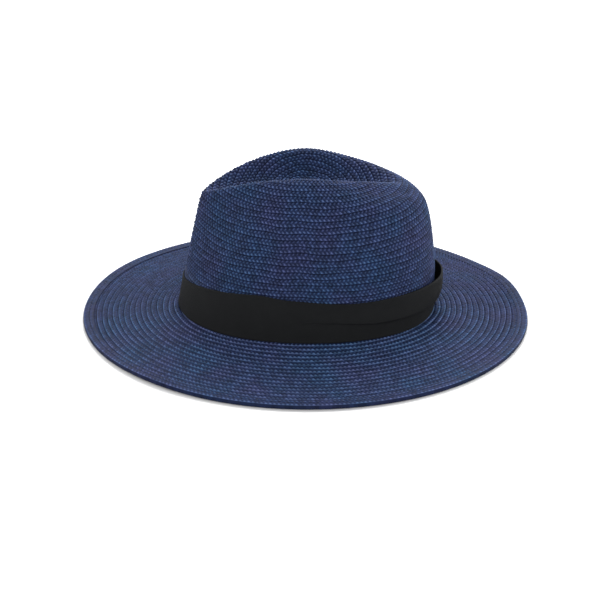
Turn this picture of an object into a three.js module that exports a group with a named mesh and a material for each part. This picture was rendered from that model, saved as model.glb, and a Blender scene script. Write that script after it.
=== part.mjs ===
// A fedora hat sewn from one spiral of paper-straw braid: a centre-dented crown with pinched sides,
// a brim whose last row is folded round a spring wire, a black ribbon band joined under a keeper,
// and a sweatband inside with a blank label.
// Millimetres, +Z up. The hat stands on its brim on the plane z = 0. The front of the hat points
// to -X, its back to +X. Angles go round the crown from the back (+X), anticlockwise from above.
import * as THREE from "three";
import { mergeVertices } from "three/addons/utils/BufferGeometryUtils.js";

// ---- Driving dimensions ----
const CROWN_HALF_LENGTH = 104;   // outside of the crown at its base, front to back
const CROWN_HALF_WIDTH = 87;     // the same, side to side
const CROWN_HEIGHT = 118.5;       // highest point of the ridges above the crown's base
const BRIM_WIDTH = 80;           // from the crown's base to the rim
const BASE_HEIGHT = 13;          // crown's base above the table
const BASE_SADDLE = 2;           // the base is this much higher at the sides, lower front and back
const BRAID = 1.6;               // thickness of the sewn braid
const GAP = 0.3;                 // clearance between pieces that touch

// Centre dent: the ridge round it is a lens seen from above.
const RIDGE_FRONT = 83.5;
const RIDGE_BACK = 84.5;
const RIDGE_SIDE = 34.5;
const RIDGE_SHARPNESS = 1.55;    // exponent of the lens outline
const RIDGE_FALL_FRONT = 22;     // how far the ridge comes down towards its front end
const RIDGE_FALL_BACK = 11;
const FALL_POWER_FRONT = 2;
const FALL_POWER_BACK = 3.3;
const DENT_DEPTH = 20;
const ROLL_HEIGHT = 3.9;         // the rolled ridge is this much fuller along the sides

// Finger pinch in each side wall: a shallow hollow made of two folds with a low rib between them.
const PINCH_DEPTH = 4.5;
const PINCH_AT = -20;            // place along the hat's length
const PINCH_FOLD_SPREAD = 15;    // distance of each fold from the rib
const PINCH_FOLD_WIDTH = 10;
const PINCH_RISE = [20, 62];     // heights above the base between which the folds deepen
const PINCH_FADE = [85, CROWN_HEIGHT];

// Rim: the last row of braid is folded over the brim's edge, with the wire in the fold.
const RIM_LIP = 1.0;
const RIM_ROW_WIDTH = 9;
const RIM_TOE = 1.2;             // the fold leaves the table this far inside the rim
const RIM_NOSE = [[0.35, 0.7], [0, -0.8], [0.35, -2.2]];  // round edge: distance from the rim, rise
const BRIM_DROOP = 1.5;          // 1 would be a straight cone, more falls steeply and then levels out
const WIRE_RADIUS = 0.45;
const JOINER_INNER_RADIUS = 0.72;
const JOINER_OUTER_RADIUS = 0.9;
const JOINER_LENGTH = 14;

// Trim
const BAND_HEIGHT = 33;
const BAND_WAVES = [[178, -8, 28], [242, 2.5, 16], [295, -2, 20]];  // upper edge: degrees round, rise, spread
const BAND_THICKNESS = 1.2;
const BAND_FLARE = 5;            // the band's upper part stands off the crown near the back
const BAND_FLARE_AT = -7;        // degrees round from the back
const BAND_FLARE_SPREAD = 15;    // degrees over which it dies away towards the hat's right side
const BAND_FLARE_END = [5, 18];  // and past its middle, towards the left side
const BAND_FLARE_RISE = [6, 25]; // heights above the base between which the band leaves the crown
const KEEPER_AT = 62;            // degrees round from the back
const KEEPER_WIDTH = 20;
const KEEPER_THICKNESS = 1.0;
const SWEAT_HEIGHT = 32;
const SWEAT_THICKNESS = 1.2;
const THREAD_RADIUS = 0.35;

const DENT_STEPS = 6;             // rows of points from the middle of the dent to the ridge
const WALL_STEPS = 10;            // and from the ridge to the base
const RING_STEPS = 72;
const STEP_CROWDING = 0.32;       // how much closer the crown's steps are at the sharp ends of the ridge

// Angle of a step round the crown, for the crown and for what lies against it.
const crownAngle = (turn) => turn - STEP_CROWDING * Math.sin(2 * turn);

// ---- Small helpers ----
const degrees = THREE.MathUtils.degToRad;
const smooth = (x, from, to) => THREE.MathUtils.smoothstep(x, from, to);
const bell = (x, width) => Math.exp(-((x / width) ** 2));

function angleFrom(theta, centreDegrees) {
  const turn = theta - degrees(centreDegrees);
  return THREE.MathUtils.radToDeg(Math.atan2(Math.sin(turn), Math.cos(turn)));
}

// ---- Crown surface ----
function baseRadius(theta) {
  return 1 / Math.hypot(Math.cos(theta) / CROWN_HALF_LENGTH, Math.sin(theta) / CROWN_HALF_WIDTH);
}

function baseHeight(theta) {
  return BASE_HEIGHT - BASE_SADDLE * Math.cos(2 * theta);
}

function ridgeRadius(theta) {
  const reach = Math.cos(theta) < 0 ? RIDGE_FRONT : RIDGE_BACK;
  const along = Math.abs(Math.cos(theta) / reach) ** RIDGE_SHARPNESS;
  const across = Math.abs(Math.sin(theta) / RIDGE_SIDE) ** RIDGE_SHARPNESS;
  return (along + across) ** (-1 / RIDGE_SHARPNESS);
}

function ridgeHeight(theta) {
  const x = ridgeRadius(theta) * Math.cos(theta);
  const fallFront = RIDGE_FALL_FRONT * Math.abs(x / RIDGE_FRONT) ** FALL_POWER_FRONT;
  const fallBack = RIDGE_FALL_BACK * Math.abs(x / RIDGE_BACK) ** FALL_POWER_BACK;
  const fall = x < 0 ? fallFront : fallBack;
  return BASE_HEIGHT + CROWN_HEIGHT - fall;
}

// Control points of the wall, as [share of the way out from ridge to base, share of the height].
const WALL_FRONT = [[0.04, 1.015], [0.2, 0.86], [0.5, 0.57], [0.78, 0.28], [1, 0]];
const WALL_BACK = [[0.22, 0.895], [0.68, 0.86], [1, 0.52], [1.12, 0.22], [1.05, 0]];
const WALL_SIDE = [[0.08, 1], [0.4, 0.86], [0.68, 0.58], [0.86, 0.28], [1, 0]];

// Control points of the curve from the middle of the dent, over the ridge, down to the base.
function meridianControls(theta) {
  const front = Math.max(0, -Math.cos(theta)) ** 2;
  const back = Math.max(0, Math.cos(theta)) ** 2;
  const side = Math.sin(theta) ** 2;
  const ridge = ridgeRadius(theta);
  const top = ridgeHeight(theta);
  const foot = baseHeight(theta);
  const dent = BASE_HEIGHT + CROWN_HEIGHT - DENT_DEPTH;
  const controls = [
    [0, dent],
    [0.3 * ridge, dent],
    [0.62 * ridge, dent + 0.3 * (top - dent)],
    [0.93 * ridge, top + ROLL_HEIGHT * side],
  ];
  WALL_FRONT.forEach((_, k) => {
    const mix = (i) => front * WALL_FRONT[k][i] + back * WALL_BACK[k][i] + side * WALL_SIDE[k][i];
    controls.push([ridge + (baseRadius(theta) - ridge) * mix(0), foot + (top - foot) * mix(1)]);
  });
  return controls.map(([r, z]) => new THREE.Vector2(r, z));
}

// A cubic B-spline that starts and ends on its outer control points.
function splinePoint(controls, share) {
  const last = controls.length - 1;
  const at = (k) => {
    if (k < 0) return controls[0].clone().multiplyScalar(2).sub(controls[1]);
    if (k > last) return controls[last].clone().multiplyScalar(2).sub(controls[last - 1]);
    return controls[k];
  };
  const span = Math.min(Math.floor(share * last), last - 1);
  const t = share * last - span;
  const weights = [(1 - t) ** 3, 3 * t ** 3 - 6 * t * t + 4, -3 * t ** 3 + 3 * t * t + 3 * t + 1, t ** 3];
  const point = new THREE.Vector2();
  weights.forEach((w, k) => point.addScaledVector(at(span - 1 + k), w / 6));
  return point;
}

const MERIDIAN_SAMPLES = 120;
const meridians = new Map();

// The meridian as points with the length run so far, kept for each angle that is asked for.
function meridian(theta) {
  if (!meridians.has(theta)) {
    const controls = meridianControls(theta);
    const points = [];
    const runs = [0];
    for (let k = 0; k <= MERIDIAN_SAMPLES; k++) {
      points.push(splinePoint(controls, k / MERIDIAN_SAMPLES));
      if (k > 0) runs.push(runs[k - 1] + points[k].distanceTo(points[k - 1]));
    }
    meridians.set(theta, { points, runs });
  }
  return meridians.get(theta);
}

// Share of the meridian at the ridge, which is the fourth of the nine control points.
function ridgeShare(theta) {
  const { runs } = meridian(theta);
  return runs[(MERIDIAN_SAMPLES * 3) / 8] / runs[MERIDIAN_SAMPLES];
}

function pinchDepth(x, radius, z, theta) {
  const fold = (offset) => bell(x - PINCH_AT - offset, PINCH_FOLD_WIDTH);
  const height = z - BASE_HEIGHT;
  const upright = smooth(height, ...PINCH_RISE) * (1 - smooth(height, ...PINCH_FADE));
  const outside = smooth(radius - ridgeRadius(theta), 0, 15);
  const folds = fold(PINCH_FOLD_SPREAD) + fold(-PINCH_FOLD_SPREAD);
  return PINCH_DEPTH * folds * upright * outside * Math.sin(theta) ** 2;
}

// Point on the crown's outer face: share 0 is the middle of the dent, 1 the base.
function crownFace(theta, share) {
  const { points, runs } = meridian(theta);
  const run = share * runs[MERIDIAN_SAMPLES];
  let k = runs.findIndex((value) => value >= run);
  k = Math.min(Math.max(k, 1), MERIDIAN_SAMPLES);
  const t = (run - runs[k - 1]) / (runs[k] - runs[k - 1]);
  const flat = points[k - 1].clone().lerp(points[k], t);
  const point = new THREE.Vector3(flat.x * Math.cos(theta), flat.x * Math.sin(theta), flat.y);
  point.y -= Math.sign(Math.sin(theta)) * pinchDepth(point.x, flat.x, flat.y, theta);
  return point;
}

// Outward normal of the crown's face, from two short steps along it.
function crownNormal(theta, share) {
  const step = 0.004;
  const above = crownFace(theta, Math.max(share - step, step));
  const down = crownFace(theta, Math.min(share + step, 1)).sub(above);
  const round = crownFace(theta + step, share).sub(crownFace(theta - step, share));
  return down.cross(round).normalize();
}

// Point off the crown's face by a distance, outwards when it is positive.
function offCrown(theta, share, distance) {
  const point = crownFace(theta, share);
  const onAxis = share < 0.02;
  const normal = onAxis ? new THREE.Vector3(0, 0, 1) : crownNormal(theta, share);
  return point.addScaledVector(normal, distance);
}

// Share of the meridian that lies a given height above the base.
function shareAtHeight(theta, height) {
  const step = 0.5 / meridian(theta).runs[MERIDIAN_SAMPLES];
  const foot = crownFace(theta, 1).z;
  let share = 1;
  while (crownFace(theta, share).z - foot < height && share > 0) share -= step;
  return share;
}

// ---- Brim surface ----
// The rim lies flat on the table but for three low waves, each with its place in degrees from the
// back, its lift and its width in degrees.
const RIM_WAVES = [[19, 3, 12], [152, 1.2, 18], [228, 1, 16]];

function rimLift(theta) {
  return RIM_WAVES.reduce((sum, [at, lift, width]) => sum + lift * bell(angleFrom(theta, at), width), 0);
}

// Point on or off the brim's upper face: share 0 is the crown's base, 1 the rim.
function brimPoint(theta, share, rise) {
  const left = THREE.MathUtils.clamp(1 - share, 0, 1);
  const foot = BASE_HEIGHT + (baseHeight(theta) - BASE_HEIGHT) * left ** 2 - 2 * GAP;
  const rim = RIM_LIP + GAP + BRAID + rimLift(theta) * Math.max(0, share) ** 2;
  return new THREE.Vector3(
    (CROWN_HALF_LENGTH + BRIM_WIDTH * share) * Math.cos(theta),
    (CROWN_HALF_WIDTH + BRIM_WIDTH * share) * Math.sin(theta),
    rim + (foot - rim) * left ** BRIM_DROOP + rise,
  );
}

const brimShare = (fromRim) => 1 - fromRim / BRIM_WIDTH;

// ---- Solids ----
// Joins one outline for each angle into a closed body that goes all the way round. Each outline
// runs down the outer side and back up the inner side; points shared on the axis are merged.
function goRound(steps, outlineAt) {
  const outlines = Array.from({ length: steps }, (_, i) => outlineAt((2 * Math.PI * i) / steps));
  return joinOutlines(outlines, true);
}

// Joins outlines one after another, closing the two ends with fans unless the last meets the first.
function joinOutlines(outlines, closedRound) {
  const size = outlines[0].length;
  const positions = outlines.flat().flatMap((point) => [point.x, point.y, point.z]);
  const index = [];
  const rounds = closedRound ? outlines.length : outlines.length - 1;
  for (let i = 0; i < rounds; i++) {
    const here = i * size;
    const next = ((i + 1) % outlines.length) * size;
    for (let j = 0; j < size; j++) {
      const k = (j + 1) % size;
      index.push(here + j, here + k, next + k, here + j, next + k, next + j);
    }
  }
  if (!closedRound) {
    const end = (outlines.length - 1) * size;
    for (let j = 1; j < size - 1; j++) index.push(0, j + 1, j, end, end + j, end + j + 1);
  }
  return mergeShared(positions, index);
}

// Merges points that coincide and drops the triangles that this leaves without area.
function mergeShared(positions, index) {
  const loose = new THREE.BufferGeometry();
  loose.setAttribute("position", new THREE.Float32BufferAttribute(positions, 3));
  loose.setIndex(index);
  const merged = mergeVertices(loose, 1e-3);
  const corners = merged.index.array;
  const kept = [];
  for (let t = 0; t < corners.length; t += 3) {
    const [a, b, c] = [corners[t], corners[t + 1], corners[t + 2]];
    if (a !== b && b !== c && c !== a) kept.push(a, b, c);
  }
  merged.setIndex(kept);
  merged.computeVertexNormals();
  return merged;
}

// A short straight rod with rounded ends, from one point to another.
function rodBetween(from, to, radius) {
  const length = from.distanceTo(to);
  const rod = new THREE.CapsuleGeometry(radius, length, 3, 8);
  const along = to.clone().sub(from).normalize();
  rod.applyQuaternion(new THREE.Quaternion().setFromUnitVectors(new THREE.Vector3(0, 1, 0), along));
  rod.translate(...from.clone().add(to).multiplyScalar(0.5).toArray());
  return rod;
}

const hat = new THREE.Group();

function addPiece(name, geometry, color, roughness, metalness = 0) {
  const mesh = new THREE.Mesh(geometry, new THREE.MeshStandardMaterial({ color, roughness, metalness }));
  mesh.name = name;
  hat.add(mesh);
}

const STRAW = 0x36466f;
const STRAW_EDGE = 0x2c3a63;
const RIBBON = 0x202226;
const THREAD = 0x232c4d;

// ---- Crown: a dented dome of braid, open below, as its dented tip and its side wall ----
const CROWN_STEPS = DENT_STEPS + WALL_STEPS;

function crownShare(theta, step) {
  const ridge = ridgeShare(theta);
  if (step <= DENT_STEPS) return (ridge * step) / DENT_STEPS;
  return ridge + ((1 - ridge) * (step - DENT_STEPS)) / WALL_STEPS;
}

// The shell between two steps of the meridian; its upper edge is cut back by a gap.
function crownShell(firstStep, lastStep, gap) {
  return goRound(RING_STEPS, (turn) => {
    const theta = crownAngle(turn);
    const outer = [];
    const inner = [];
    for (let k = firstStep; k <= lastStep; k++) {
      const cutBack = k === firstStep ? gap / meridian(theta).runs[MERIDIAN_SAMPLES] : 0;
      const share = crownShare(theta, k) + cutBack;
      outer.push(offCrown(theta, share, 0));
      inner.push(offCrown(theta, share, -BRAID));
    }
    if (lastStep === CROWN_STEPS) inner.at(-1).z = outer.at(-1).z;
    return [...outer, ...inner.reverse()];
  });
}
addPiece("crown_tip", crownShell(0, DENT_STEPS, 0), STRAW, 0.75);
addPiece("crown_wall", crownShell(DENT_STEPS, CROWN_STEPS, 1.5 * GAP), STRAW, 0.75);

// ---- Brim: a gently falling ring of braid that ends beside the wire in its rim ----
const BRIM_STEPS_OUT = 4;
const WIRE_FROM_RIM = RIM_LIP + 2 * GAP + JOINER_OUTER_RADIUS;
const BRIM_END_FROM_RIM = WIRE_FROM_RIM + JOINER_OUTER_RADIUS + 2 * GAP;

function brimGeometry() {
  const from = -BRAID / BRIM_WIDTH;
  const to = brimShare(BRIM_END_FROM_RIM);
  const shareAt = (k) => from + ((to - from) * k) / BRIM_STEPS_OUT;
  return goRound(RING_STEPS, (theta) => {
    const upper = [];
    const lower = [];
    for (let k = 0; k <= BRIM_STEPS_OUT; k++) {
      upper.push(brimPoint(theta, shareAt(k), 0));
      lower.push(brimPoint(theta, shareAt(k), -BRAID));
    }
    return [...upper, ...lower.reverse()];
  });
}
addPiece("brim", brimGeometry(), STRAW, 0.75);

// ---- Rim row: the last row of braid folded over the brim's edge, open towards the crown ----
function rimRowGeometry() {
  const lipTop = GAP + RIM_LIP;
  const slotFloor = -BRAID - GAP;
  const edge = [[RIM_TOE, lipTop], ...RIM_NOSE];
  return goRound(RING_STEPS, (theta) => {
    const table = (fromRim) => brimPoint(theta, brimShare(fromRim), 0).setZ(rimLift(theta));
    return [
      brimPoint(theta, brimShare(RIM_ROW_WIDTH), lipTop),
      ...edge.map(([fromRim, rise]) => brimPoint(theta, brimShare(fromRim), rise)),
      table(RIM_TOE),
      table(RIM_ROW_WIDTH),
      brimPoint(theta, brimShare(RIM_ROW_WIDTH), slotFloor),
      brimPoint(theta, brimShare(RIM_LIP), slotFloor),
      brimPoint(theta, brimShare(RIM_LIP), GAP),
      brimPoint(theta, brimShare(RIM_ROW_WIDTH), GAP),
    ];
  });
}
addPiece("rim_row", rimRowGeometry(), STRAW_EDGE, 0.7);

// ---- Rim wire and the tube that joins its two ends, on the hat's left side ----
const WIRE_RISE = -BRAID / 2;
const JOINER_AT = 90;

function roundShape(radius, corners) {
  const points = Array.from({ length: corners }, (_, k) => {
    const turn = (2 * Math.PI * k) / corners;
    return new THREE.Vector2(radius * Math.cos(turn), radius * Math.sin(turn));
  });
  return new THREE.Shape(points);
}

function rimWireGeometry() {
  const halfGap = 0.4;
  const points = [];
  for (let k = 0; k <= RING_STEPS; k++) {
    const turn = JOINER_AT + halfGap + ((360 - 2 * halfGap) * k) / RING_STEPS;
    points.push(brimPoint(degrees(turn), brimShare(WIRE_FROM_RIM), WIRE_RISE));
  }
  const extrudePath = new THREE.CatmullRomCurve3(points);
  const options = { steps: RING_STEPS, extrudePath, bevelEnabled: false };
  return new THREE.ExtrudeGeometry(roundShape(WIRE_RADIUS, 6), options);
}
addPiece("rim_wire", rimWireGeometry(), 0xb8babd, 0.35, 1);

function wireJoinerGeometry() {
  const middle = brimPoint(degrees(JOINER_AT), brimShare(WIRE_FROM_RIM), WIRE_RISE);
  const tube = roundShape(JOINER_OUTER_RADIUS, 12);
  tube.holes.push(roundShape(JOINER_INNER_RADIUS, 12));
  const geometry = new THREE.ExtrudeGeometry(tube, { depth: JOINER_LENGTH, steps: 1, bevelEnabled: false });
  geometry.translate(0, 0, -JOINER_LENGTH / 2);
  geometry.rotateY(Math.PI / 2);
  geometry.translate(middle.x, middle.y, middle.z);
  return geometry;
}
addPiece("wire_joiner", wireJoinerGeometry(), 0xb9a878, 0.35, 1);

// ---- Threads that run all the way round ----
function threadRing(centreAt) {
  const corners = 4;
  return goRound(RING_STEPS, (theta) => {
    const centre = centreAt(theta);
    const outward = new THREE.Vector3(Math.cos(theta), Math.sin(theta), 0);
    return Array.from({ length: corners }, (_, k) => {
      const turn = (-2 * Math.PI * k) / corners;
      const side = THREAD_RADIUS * Math.cos(turn);
      const rise = THREAD_RADIUS * Math.sin(turn);
      return centre.clone().addScaledVector(outward, side).setZ(centre.z + rise);
    });
  });
}
const RIM_THREAD_FROM_RIM = RIM_ROW_WIDTH - 1.5;
const RIM_THREAD_RISE = 2 * GAP + RIM_LIP + THREAD_RADIUS;
const rimThreadAt = (theta) => brimPoint(theta, brimShare(RIM_THREAD_FROM_RIM), RIM_THREAD_RISE);
addPiece("rim_thread", threadRing(rimThreadAt), THREAD, 0.6);

// ---- Tail of the braid: the end of the spiral, tapered and tacked under the brim at the back ----
const TAIL_AT = -18;              // degrees round from the back
const TAIL_TURN = 14;             // degrees that it reaches round
const TAIL_FROM_RIM = RIM_ROW_WIDTH + 3;
const TAIL_TIP_WIDTH = 1.2;
const TAIL_ROOT_WIDTH = 5.7;
const TAIL_THICKNESS = 0.6;
const TACK_ACROSS = [3.6, 1];     // from the tail's outer edge to the two ends of its tack

function braidTailGeometry() {
  const steps = 8;
  const outlines = [];
  for (let k = 0; k <= steps; k++) {
    const theta = degrees(TAIL_AT - TAIL_TURN / 2 + (TAIL_TURN * k) / steps);
    const width = TAIL_TIP_WIDTH + ((TAIL_ROOT_WIDTH - TAIL_TIP_WIDTH) * k) / steps;
    const outer = brimShare(TAIL_FROM_RIM);
    const inner = brimShare(TAIL_FROM_RIM + width);
    const upper = -BRAID - GAP;
    const lower = upper - TAIL_THICKNESS;
    outlines.push([
      brimPoint(theta, inner, upper), brimPoint(theta, outer, upper),
      brimPoint(theta, outer, lower), brimPoint(theta, inner, lower),
    ]);
  }
  return joinOutlines(outlines, false);
}
addPiece("braid_tail", braidTailGeometry(), STRAW, 0.75);

function tailTackGeometry() {
  const rise = -BRAID - 2 * GAP - TAIL_THICKNESS - THREAD_RADIUS;
  const theta = degrees(TAIL_AT + 2);
  const end = (across) => brimPoint(theta, brimShare(TAIL_FROM_RIM + across), rise);
  return rodBetween(...TACK_ACROSS.map(end), THREAD_RADIUS);
}
addPiece("braid_tail_tack", tailTackGeometry(), THREAD, 0.6);

// ---- Strips that follow the crown's wall ----
// An outline of a strip at one angle: heights above the base, and its two faces' distances off the wall.
function stripOutline(theta, heights, outerOff, innerOff) {
  const shares = heights.map((height) => shareAtHeight(theta, height));
  const outer = shares.map((share, k) => offCrown(theta, share, outerOff(theta, heights[k])));
  const inner = shares.map((share, k) => offCrown(theta, share, innerOff(theta, heights[k])));
  return [...outer, ...inner.reverse()];
}

// A short strip between two angles.
function patchGeometry(centreDegrees, width, heights, outerOff, innerOff, steps = 4) {
  const halfTurn = width / 2 / baseRadius(degrees(centreDegrees));
  const outlines = [];
  for (let k = 0; k <= steps; k++) {
    const theta = degrees(centreDegrees) - halfTurn + (2 * halfTurn * k) / steps;
    outlines.push(stripOutline(theta, heights, outerOff, innerOff));
  }
  return joinOutlines(outlines, false);
}

// ---- Hat band: black ribbon round the crown's foot, low at the front and standing off near the back ----
const STRIP_FOOT = 0.8;           // every strip round the crown starts this high above the base

function bandTop(theta) {
  const wave = ([at, rise, spread]) => rise * bell(angleFrom(theta, at), spread);
  return BAND_WAVES.reduce((height, each) => height + wave(each), BAND_HEIGHT);
}

function bandInnerOff(theta, height) {
  const side = angleFrom(theta, BAND_FLARE_AT);
  const reach = side < 0 ? bell(side, BAND_FLARE_SPREAD) : 1 - smooth(side, ...BAND_FLARE_END);
  return 1.5 * GAP + BAND_FLARE * reach * smooth(height, ...BAND_FLARE_RISE);
}
const bandOuterOff = (theta, height) => bandInnerOff(theta, height) + BAND_THICKNESS;

function bandOutline(turn) {
  const theta = crownAngle(turn);
  const top = bandTop(theta);
  const heights = [top, 0.6 * top, 0.3 * top, STRIP_FOOT];
  return stripOutline(theta, heights, bandOuterOff, bandInnerOff);
}
addPiece("hat_band", goRound(RING_STEPS, bandOutline), RIBBON, 0.85);

// ---- Keeper: a short upright ribbon over the band's joint, held by four thread tacks ----
const KEEPER_HEIGHTS = [BAND_HEIGHT + 1, 17, STRIP_FOOT];
const keeperInnerOff = (theta, height) => bandOuterOff(theta, height) + GAP;
const keeperOuterOff = (theta, height) => keeperInnerOff(theta, height) + KEEPER_THICKNESS;
const keeper = patchGeometry(KEEPER_AT, KEEPER_WIDTH, KEEPER_HEIGHTS, keeperOuterOff, keeperInnerOff);
addPiece("band_keeper", keeper, RIBBON, 0.85);

// A stitch that lies along a strip: a place round the crown, a height and a distance off the wall.
function stitchGeometry(centreDegrees, height, off, length) {
  const end = (side) => {
    const theta = degrees(centreDegrees) + (side * length) / 2 / baseRadius(degrees(centreDegrees));
    return offCrown(theta, shareAtHeight(theta, height), off);
  };
  return rodBetween(end(-1), end(1), THREAD_RADIUS);
}

const KEEPER_TACK_TURN = 4;       // degrees from the keeper's middle to its tacks
const KEEPER_TACK_LENGTH = 2.4;
[[-1, 4], [1, 4], [-1, 29], [1, 29]].forEach(([side, height], k) => {
  const at = KEEPER_AT + side * KEEPER_TACK_TURN;
  const off = keeperOuterOff(degrees(at), height) + GAP + THREAD_RADIUS;
  addPiece(`keeper_tack_${k + 1}`, stitchGeometry(at, height, off, KEEPER_TACK_LENGTH), RIBBON, 0.7);
});

// ---- Sweatband: a soft strip inside the crown's foot, its butt joint taped at the back ----
const SWEAT_HEIGHTS = [SWEAT_HEIGHT, 21, 10, STRIP_FOOT];
const SWEAT_OUTER_OFF = -BRAID - 2 * GAP;
const SWEAT_INNER_OFF = SWEAT_OUTER_OFF - SWEAT_THICKNESS;
const sweatOuterOff = () => SWEAT_OUTER_OFF;
const sweatInnerOff = () => SWEAT_INNER_OFF;
const sweatOutline = (turn) => stripOutline(crownAngle(turn), SWEAT_HEIGHTS, sweatOuterOff, sweatInnerOff);
addPiece("sweatband", goRound(RING_STEPS, sweatOutline), 0x1b1d22, 0.9);

const PATCH_THICKNESS = 0.7;
const PATCH_OUTER_OFF = SWEAT_INNER_OFF - GAP;
const PATCH_INNER_OFF = PATCH_OUTER_OFF - PATCH_THICKNESS;

function patch(at, width, heights) {
  return patchGeometry(at, width, heights, () => PATCH_OUTER_OFF, () => PATCH_INNER_OFF);
}

const TAPE_WIDTH = 11;
addPiece("sweatband_seam_tape", patch(0, TAPE_WIDTH, [30, 18, 6]), 0x24262c, 0.9);

const SWEAT_THREAD_HEIGHT = 3;
const sweatThreadOff = SWEAT_INNER_OFF - GAP - THREAD_RADIUS;
function sweatThreadAt(turn) {
  const theta = crownAngle(turn);
  return offCrown(theta, shareAtHeight(theta, SWEAT_THREAD_HEIGHT), sweatThreadOff);
}
addPiece("sweatband_thread", threadRing(sweatThreadAt), THREAD, 0.6);

// ---- Label: a blank woven tab on the sweatband, sewn down at its two ends ----
const LABEL_AT = 34;
const LABEL_WIDTH = 34;
const LABEL_STITCH_IN = 2.5;      // from the label's end to its stitch
const LABEL_STITCH_HEIGHTS = [12, 22];
addPiece("label", patch(LABEL_AT, LABEL_WIDTH, [25, 9]), 0xd9d6cc, 0.9);

[-1, 1].forEach((side, k) => {
  const reach = (LABEL_WIDTH / 2 - LABEL_STITCH_IN) / baseRadius(degrees(LABEL_AT));
  const theta = degrees(LABEL_AT) + side * reach;
  const off = PATCH_INNER_OFF - GAP - THREAD_RADIUS;
  const end = (height) => offCrown(theta, shareAtHeight(theta, height), off);
  const stitch = rodBetween(...LABEL_STITCH_HEIGHTS.map(end), THREAD_RADIUS);
  addPiece(`label_stitch_${k + 1}`, stitch, THREAD, 0.6);
});

export default hat;
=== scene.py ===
# The looks of a fedora sewn from one spiral of paper-straw braid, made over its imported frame.
# Sizes are millimetres, as in the design, and add_mesh() turns them into metres. The front of the
# hat points to -X. Angles go round the crown from the back (+X), anticlockwise from above.
import math

import bpy
import numpy as np
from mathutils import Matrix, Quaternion, Vector


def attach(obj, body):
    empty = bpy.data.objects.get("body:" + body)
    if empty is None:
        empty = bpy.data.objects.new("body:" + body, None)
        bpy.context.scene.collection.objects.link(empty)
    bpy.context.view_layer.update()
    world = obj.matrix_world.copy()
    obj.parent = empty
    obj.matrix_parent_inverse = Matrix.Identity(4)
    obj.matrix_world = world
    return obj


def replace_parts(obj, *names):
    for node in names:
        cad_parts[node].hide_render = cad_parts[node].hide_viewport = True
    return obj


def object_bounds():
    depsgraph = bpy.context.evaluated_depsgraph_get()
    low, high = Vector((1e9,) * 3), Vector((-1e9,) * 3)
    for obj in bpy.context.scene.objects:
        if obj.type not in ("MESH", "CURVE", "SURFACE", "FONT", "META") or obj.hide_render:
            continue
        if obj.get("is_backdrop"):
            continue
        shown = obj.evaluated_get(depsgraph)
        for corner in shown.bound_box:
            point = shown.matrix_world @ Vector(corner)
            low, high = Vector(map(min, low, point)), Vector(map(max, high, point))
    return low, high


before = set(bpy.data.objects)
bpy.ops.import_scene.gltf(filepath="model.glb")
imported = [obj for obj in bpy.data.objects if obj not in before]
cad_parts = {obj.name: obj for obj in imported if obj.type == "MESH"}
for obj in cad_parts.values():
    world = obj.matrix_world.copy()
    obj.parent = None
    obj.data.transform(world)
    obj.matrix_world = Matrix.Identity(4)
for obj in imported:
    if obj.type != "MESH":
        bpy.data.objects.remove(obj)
cad_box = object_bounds()

MM = 0.001
FULL_TURN = 2 * math.pi

# ---- The design's driving dimensions ----
CROWN_HALF_LENGTH = 104
CROWN_HALF_WIDTH = 87
CROWN_HEIGHT = 118.5
BRIM_WIDTH = 80
BASE_HEIGHT = 13
BASE_SADDLE = 2
BRAID = 1.6
GAP = 0.3
RIDGE_FRONT = 83.5
RIDGE_BACK = 84.5
RIDGE_SIDE = 34.5
RIDGE_SHARPNESS = 1.55
RIDGE_FALL_FRONT = 22
RIDGE_FALL_BACK = 11
FALL_POWER_FRONT = 2
FALL_POWER_BACK = 3.3
DENT_DEPTH = 20
ROLL_HEIGHT = 3.9
PINCH_DEPTH = 2.8           # less than in the design, at whose depth the rows of braid waver too much
PINCH_AT = -20              # place along the hat's length
PINCH_FOLD_SPREAD = 15
PINCH_FOLD_WIDTH = 10
PINCH_RISE = (20, 62)       # heights above the base between which the folds deepen
PINCH_FADE = (85, CROWN_HEIGHT)
PINCH_REACH = 15            # distance outside the ridge over which the folds set in
RIM_LIP = 1.0
RIM_ROW_WIDTH = 9
BRIM_DROOP = 1.5
RIM_WAVES = ((19, 3, 12), (152, 1.2, 18), (228, 1, 16))        # degrees round, lift, spread
BAND_HEIGHT = 33
BAND_WAVES = ((178, -8, 28), (242, 2.5, 16), (295, -2, 20))    # upper edge: degrees round, rise, spread
BAND_THICKNESS = 1.2
BAND_SLACK = ((0.176, 3, 0.08), (0.112, 8, -0.12))             # size, waves round the hat, lean with height
BAND_FLARE = 5              # how far the upper edge stands off the crown
BAND_FLARE_AT = -7
BAND_FLARE_SPREAD = 15
BAND_FLARE_END = (5, 18)
BAND_FLARE_RISE = (6, 25)
FOLD_LINE = 16.5            # height of the band's lengthwise fold
FOLD_DROP = 3               # how much lower the fold lies towards the hat's back
FOLD_RISE = 1.5
FOLD_START = (262, 300)     # degrees round between which the fold sets in
FOLD_END = (348, 358)
STRIP_FOOT = 0.8            # height of a strip's lower edge above the base
KEEPER_AT = 62
KEEPER_WIDTH = 20
KEEPER_THICKNESS = 1.0
SWEAT_HEIGHT = 32
SWEAT_THICKNESS = 1.2
LINING_OFF = -BRAID - 2 * GAP - SWEAT_THICKNESS     # the sweatband's inner face, from the crown's outer face
THREAD_RADIUS = 0.35
TAPE_WIDTH = 11
TAPE_ENDS = (30, 6)         # heights of its upper and lower end
LABEL_AT = 34
LABEL_WIDTH = 34
LABEL_ENDS = (25, 9)
LABEL_STITCH_IN = 2.5       # from the label's end to its stitches
PATCH_THICKNESS = 0.7       # of the tape and the label
TAIL_AT = -18
TAIL_TURN = 14
TAIL_FROM_RIM = RIM_ROW_WIDTH + 3
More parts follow.
